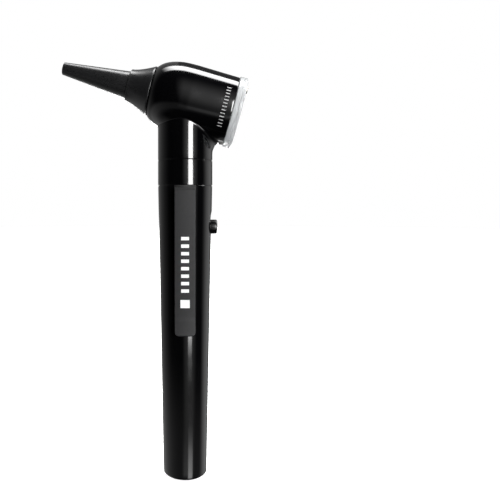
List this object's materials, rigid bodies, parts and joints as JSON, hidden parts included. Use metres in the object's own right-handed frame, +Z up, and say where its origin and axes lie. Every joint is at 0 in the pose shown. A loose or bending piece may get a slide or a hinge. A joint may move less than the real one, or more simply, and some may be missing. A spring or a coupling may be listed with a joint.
{
  "type": "otoscope",
  "caption": "Pocket otoscope: battery handle with pocket clip and slide switch, screw-on tilted head with a swivelling magnifying lens, and a pull-off ear speculum.",
  "frame": {"origin": "centre of the handle's flat foot", "axes": "+Z up along the handle; -X is the way the ear speculum points, +X is the viewing lens; -Y is the pocket clip's side, +Y the air port's side"},
  "size_m": [0.075, 0.0303, 0.166],
  "materials": {
    "gloss_black_plastic": "glossy black moulded plastic",
    "satin_black_plastic": "satin black moulded plastic",
    "speculum_plastic": "satin dark grey disposable plastic",
    "clip_steel": "blackened spring steel, satin",
    "nickel_plate": "bright nickel plate",
    "spring_steel": "drawn spring wire",
    "contact_brass": "bare sheet brass",
    "insulator_plastic": "cream insulating plastic",
    "black_rubber": "black rubber",
    "clear_acrylic": "clear polished acrylic",
    "lamp_envelope": "clear lamp glass",
    "light_guide": "bonded light-guide fibres",
    "cell_jacket": "plain printed cell jacket"
  },
  "bodies": {
    "handle": {"handle_shell": "gloss_black_plastic", "bottom_contact": "contact_brass", "battery_spring": "spring_steel", "battery_lower": "cell_jacket", "battery_upper": "cell_jacket", "lower_contact_strip": "contact_brass", "upper_contact_strip": "contact_brass", "threaded_spigot": "nickel_plate", "collar_ring": "gloss_black_plastic", "clip_tab": "clip_steel"},
    "clip_arm": {"pocket_clip": "clip_steel"},
    "switch": {"switch_button": "satin_black_plastic", "switch_slider": "insulator_plastic", "switch_leaf": "contact_brass"},
    "neck_ring": {"neck_seal": "black_rubber"},
    "head": {"head_shell": "gloss_black_plastic", "head_thread_insert": "contact_brass", "lamp_holder": "insulator_plastic", "lamp_base": "contact_brass", "lamp_glass": "lamp_envelope", "centre_contact": "contact_brass", "fibre_bundle": "light_guide", "fibre_tip_ring": "light_guide", "speculum_seat": "satin_black_plastic", "insufflation_port": "satin_black_plastic", "lens_gasket": "black_rubber", "lens_pivot_screw": "nickel_plate", "pivot_washer": "nickel_plate"},
    "lens": {"lens_ring": "clear_acrylic", "magnifier_lens": "clear_acrylic"},
    "speculum": {"ear_speculum": "speculum_plastic"}
  },
  "joints": [
    {"name": "clip_flex", "type": "hinge", "parent": "handle", "child": "clip_arm", "pos_m": [0, -0.01385, 0.1143], "axis": [-1, 0, 0], "range_deg": [0, 4], "stiffness_Nm_per_rad": 1},
    {"name": "switch_slide", "type": "slide", "parent": "handle", "child": "switch", "axis": [0, 0, 1], "range_m": [0, 0.003]},
    {"name": "head_lift", "type": "slide", "parent": "handle", "child": "neck_ring", "axis": [0, 0, 1], "range_m": [0, 0.0075]},
    {"name": "head_turn", "type": "hinge", "parent": "neck_ring", "child": "head", "pos_m": [0, 0, 0.13], "axis": [0, 0, 1], "range_deg": [0, 1080]},
    {"name": "lens_swivel", "type": "hinge", "parent": "head", "child": "lens", "pos_m": [0.02252, 0, 0.1554], "axis": [0.9681, 0, -0.2504], "continuous": true},
    {"name": "speculum_pull", "type": "slide", "parent": "head", "child": "speculum", "axis": [-0.9681, 0, 0.2504], "range_m": [0, 0.035]}
  ],
  "couplings": [
    {"joint": "head_lift", "follows": "head_turn", "m_per_rad": 0.00039789}
  ]
}
